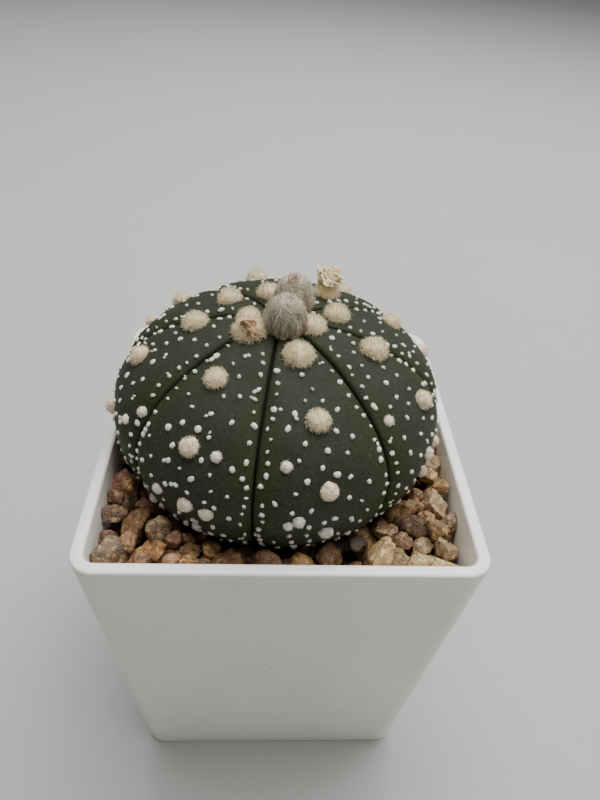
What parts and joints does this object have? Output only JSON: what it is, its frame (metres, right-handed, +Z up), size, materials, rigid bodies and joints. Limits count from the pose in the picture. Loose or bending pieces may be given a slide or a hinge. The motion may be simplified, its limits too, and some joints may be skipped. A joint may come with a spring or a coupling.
{
  "type": "potted star cactus",
  "caption": "Low round ribbed star cactus with woolly areoles, white flecks and woolly flower buds, in a small square tapered pot top-dressed with crushed granite.",
  "frame": {"origin": "middle of the pot's underside, on the surface it stands on", "axes": "+Z up, the pictured front side faces -Y, +X to its right"},
  "size_m": [0.0706, 0.0712, 0.111],
  "materials": {
    "white_polypropylene": "satin white injection-moulded polypropylene",
    "potting_mix": "dark mineral potting mix",
    "granite_grit": "rough crushed granite, pink, ochre, beige and grey",
    "cactus_skin": "dull dark grey-green plant skin with white woolly flecks",
    "bud_wool": "grey-beige combed plant wool",
    "dried_petal": "dry cream papery petals",
    "withered_petal": "brown shrivelled flower rest"
  },
  "bodies": {
    "root": {"pot": "white_polypropylene", "potting_mix": "potting_mix", "grit_top_dressing": "granite_grit", "cactus_body": "cactus_skin", "flower_bud_front": "bud_wool", "flower_bud_rear": "bud_wool", "dried_flower_back": "dried_petal", "dried_flower_front": "withered_petal"}
  },
  "joints": []
}
